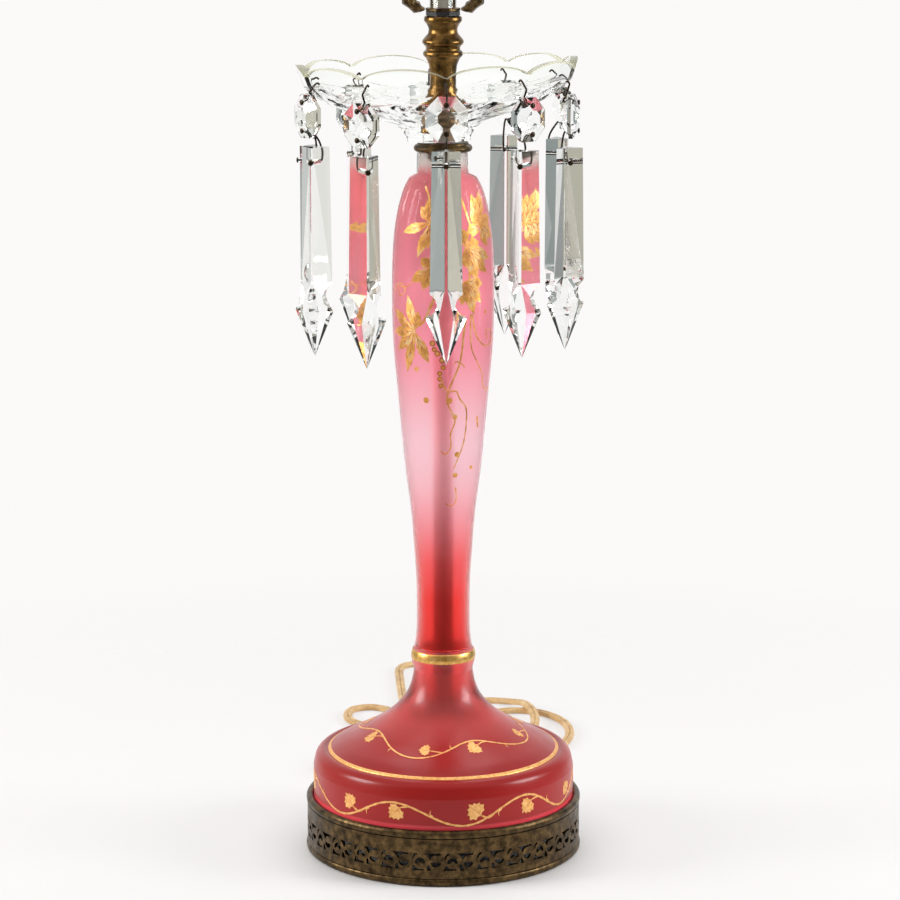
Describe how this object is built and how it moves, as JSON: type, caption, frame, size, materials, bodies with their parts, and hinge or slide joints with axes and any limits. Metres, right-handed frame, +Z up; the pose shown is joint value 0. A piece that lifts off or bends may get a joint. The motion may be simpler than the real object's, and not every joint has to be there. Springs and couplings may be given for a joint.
{
  "type": "art glass table lamp",
  "caption": "Table lamp with a ruby glass vase on a domed glass foot in a pierced brass base, a cut crystal dish hung with spear prisms, a two-light cluster and a loose cord.",
  "frame": {"origin": "on the floor, under the centre of the base", "axes": "+Z up along the lamp's stem, -Y towards the front of the lamp, so the cord leaves the base at its back, +Y"},
  "size_m": [0.1465, 0.4154, 0.6282],
  "materials": {
    "dark_brass": "aged, dark patina",
    "steel": "plain zinc plate",
    "ruby_glass": "ruby under clear casing, polished",
    "rose_glass": "ruby to pink under clear casing, polished",
    "crystal": "clear, cut and polished",
    "gilt_brass": "lacquered, slightly aged",
    "nickel": "polished",
    "wire": "antique wire",
    "black_rubber": "matt",
    "fibre": "moulded, matt",
    "cord_vinyl": "cream vinyl, satin"
  },
  "bodies": {
    "lamp": {"base_foot_ring": "dark_brass", "base_gallery": "dark_brass", "base_top_rim": "dark_brass", "base_plate": "steel", "threaded_rod": "steel", "lock_nut": "steel", "glass_foot": "ruby_glass", "vase": "rose_glass", "check_ring": "dark_brass", "bobeche": "crystal", "spindle": "gilt_brass", "spacer_washer": "black_rubber", "cluster_hub": "dark_brass", "arm_left": "dark_brass", "arm_right": "dark_brass", "riser_tube": "nickel", "finial": "gilt_brass", "socket_cap_left": "gilt_brass", "socket_cap_right": "gilt_brass", "socket_shell_left": "gilt_brass", "socket_shell_right": "gilt_brass", "socket_insert_left": "fibre", "socket_insert_right": "fibre", "cord_bushing": "black_rubber", "inner_lead": "cord_vinyl", "cord_run": "cord_vinyl", "cord_coil": "cord_vinyl", "plug": "cord_vinyl"},
    "key_left_body": {"socket_key_left": "fibre"},
    "key_right_body": {"socket_key_right": "fibre"},
    "hanger_01": {"upper_pin_01": "wire", "button_01": "crystal"},
    "hanger_02": {"upper_pin_02": "wire", "button_02": "crystal"},
    "hanger_03": {"upper_pin_03": "wire", "button_03": "crystal"},
    "hanger_04": {"upper_pin_04": "wire", "button_04": "crystal"},
    "hanger_05": {"upper_pin_05": "wire", "button_05": "crystal"},
    "hanger_06": {"upper_pin_06": "wire", "button_06": "crystal"},
    "hanger_07": {"upper_pin_07": "wire", "button_07": "crystal"},
    "hanger_08": {"upper_pin_08": "wire", "button_08": "crystal"},
    "hanger_09": {"upper_pin_09": "wire", "button_09": "crystal"},
    "hanger_10": {"upper_pin_10": "wire", "button_10": "crystal"},
    "pendant_01": {"prism_01": "crystal"},
    "pendant_02": {"prism_02": "crystal"},
    "pendant_03": {"prism_03": "crystal"},
    "pendant_04": {"prism_04": "crystal"},
    "pendant_05": {"prism_05": "crystal"},
    "pendant_06": {"prism_06": "crystal"},
    "pendant_07": {"prism_07": "crystal"},
    "pendant_08": {"prism_08": "crystal"},
    "pendant_09": {"prism_09": "crystal"},
    "pendant_10": {"prism_10": "crystal"}
  },
  "joints": [
    {"name": "key_turn_left", "type": "hinge", "parent": "lamp", "child": "key_left_body", "pos_m": [-0.0558, -0.017, 0.49], "axis": [0, -1, 0], "continuous": true},
    {"name": "key_turn_right", "type": "hinge", "parent": "lamp", "child": "key_right_body", "pos_m": [0.0558, -0.017, 0.49], "axis": [0, -1, 0], "continuous": true},
    {"name": "swing_01", "type": "hinge", "parent": "lamp", "child": "hanger_01", "pos_m": [0.00164, -0.06421, 0.38856], "axis": [-0.9976, -0.0698, 0], "range_deg": [-10, 20]},
    {"name": "swing_02", "type": "hinge", "parent": "lamp", "child": "hanger_02", "pos_m": [0.03854, -0.04931, 0.38918], "axis": [-0.766, -0.6428, 0], "range_deg": [-10, 20]},
    {"name": "swing_03", "type": "hinge", "parent": "lamp", "child": "hanger_03", "pos_m": [0.05965, -0.01557, 0.38882], "axis": [-0.2419, -0.9703, 0], "range_deg": [-10, 20]},
    {"name": "swing_04", "type": "hinge", "parent": "lamp", "child": "hanger_04", "pos_m": [0.0569, 0.02412, 0.38764], "axis": [0.3746, -0.9272, 0], "range_deg": [-10, 20]},
    {"name": "swing_05", "type": "hinge", "parent": "lamp", "child": "hanger_05", "pos_m": [0.03135, 0.0546, 0.38607], "axis": [0.848, -0.5299, 0], "range_deg": [-10, 20]},
    {"name": "swing_06", "type": "hinge", "parent": "lamp", "child": "hanger_06", "pos_m": [-0.00724, 0.06422, 0.38472], "axis": [0.9976, 0.0698, 0], "range_deg": [-10, 20]},
    {"name": "swing_07", "type": "hinge", "parent": "lamp", "child": "hanger_07", "pos_m": [-0.04414, 0.04932, 0.38411], "axis": [0.766, 0.6428, 0], "range_deg": [-10, 20]},
    {"name": "swing_08", "type": "hinge", "parent": "lamp", "child": "hanger_08", "pos_m": [-0.06525, 0.01558, 0.38446], "axis": [0.2419, 0.9703, 0], "range_deg": [-10, 20]},
    {"name": "swing_09", "type": "hinge", "parent": "lamp", "child": "hanger_09", "pos_m": [-0.06251, -0.02411, 0.38565], "axis": [-0.3746, 0.9272, 0], "range_deg": [-10, 20]},
    {"name": "swing_10", "type": "hinge", "parent": "lamp", "child": "hanger_10", "pos_m": [-0.03696, -0.05459, 0.38721], "axis": [-0.848, 0.5299, 0], "range_deg": [-10, 20]},
    {"name": "sway_01", "type": "hinge", "parent": "hanger_01", "child": "pendant_01", "pos_m": [0.0016, -0.06362, 0.35356], "axis": [0, -1, 0], "range_deg": [-9, 9]},
    {"name": "sway_02", "type": "hinge", "parent": "hanger_02", "child": "pendant_02", "pos_m": [0.03815, -0.04885, 0.35178], "axis": [-0.2419, -0.9703, 0], "range_deg": [-9, 9]},
    {"name": "sway_03", "type": "hinge", "parent": "hanger_03", "child": "pendant_03", "pos_m": [0.05907, -0.01543, 0.34982], "axis": [0.342, -0.9397, 0], "range_deg": [-9, 9]},
    {"name": "sway_04", "type": "hinge", "parent": "hanger_04", "child": "pendant_04", "pos_m": [0.05635, 0.02389, 0.34994], "axis": [0.9136, -0.4067, 0], "range_deg": [-9, 9]},
    {"name": "sway_05", "type": "hinge", "parent": "hanger_05", "child": "pendant_05", "pos_m": [0.03104, 0.05409, 0.34827], "axis": [0.1736, 0.9848, 0], "range_deg": [-9, 9]},
    {"name": "sway_06", "type": "hinge", "parent": "hanger_06", "child": "pendant_06", "pos_m": [-0.0072, 0.06362, 0.34712], "axis": [-0.2079, 0.9781, 0], "range_deg": [-9, 9]},
    {"name": "sway_07", "type": "hinge", "parent": "hanger_07", "child": "pendant_07", "pos_m": [-0.04376, 0.04886, 0.34611], "axis": [-0.5299, 0.848, 0], "range_deg": [-9, 9]},
    {"name": "sway_08", "type": "hinge", "parent": "hanger_08", "child": "pendant_08", "pos_m": [-0.06467, 0.01543, 0.34706], "axis": [-0.9945, -0.1045, 0], "range_deg": [-9, 9]},
    {"name": "sway_09", "type": "hinge", "parent": "hanger_09", "child": "pendant_09", "pos_m": [-0.06195, -0.02389, 0.35065], "axis": [-0.2079, -0.9781, 0], "range_deg": [-9, 9]},
    {"name": "sway_10", "type": "hinge", "parent": "hanger_10", "child": "pendant_10", "pos_m": [-0.03664, -0.05408, 0.34951], "axis": [0.2079, -0.9781, 0], "range_deg": [-9, 9]}
  ]
}
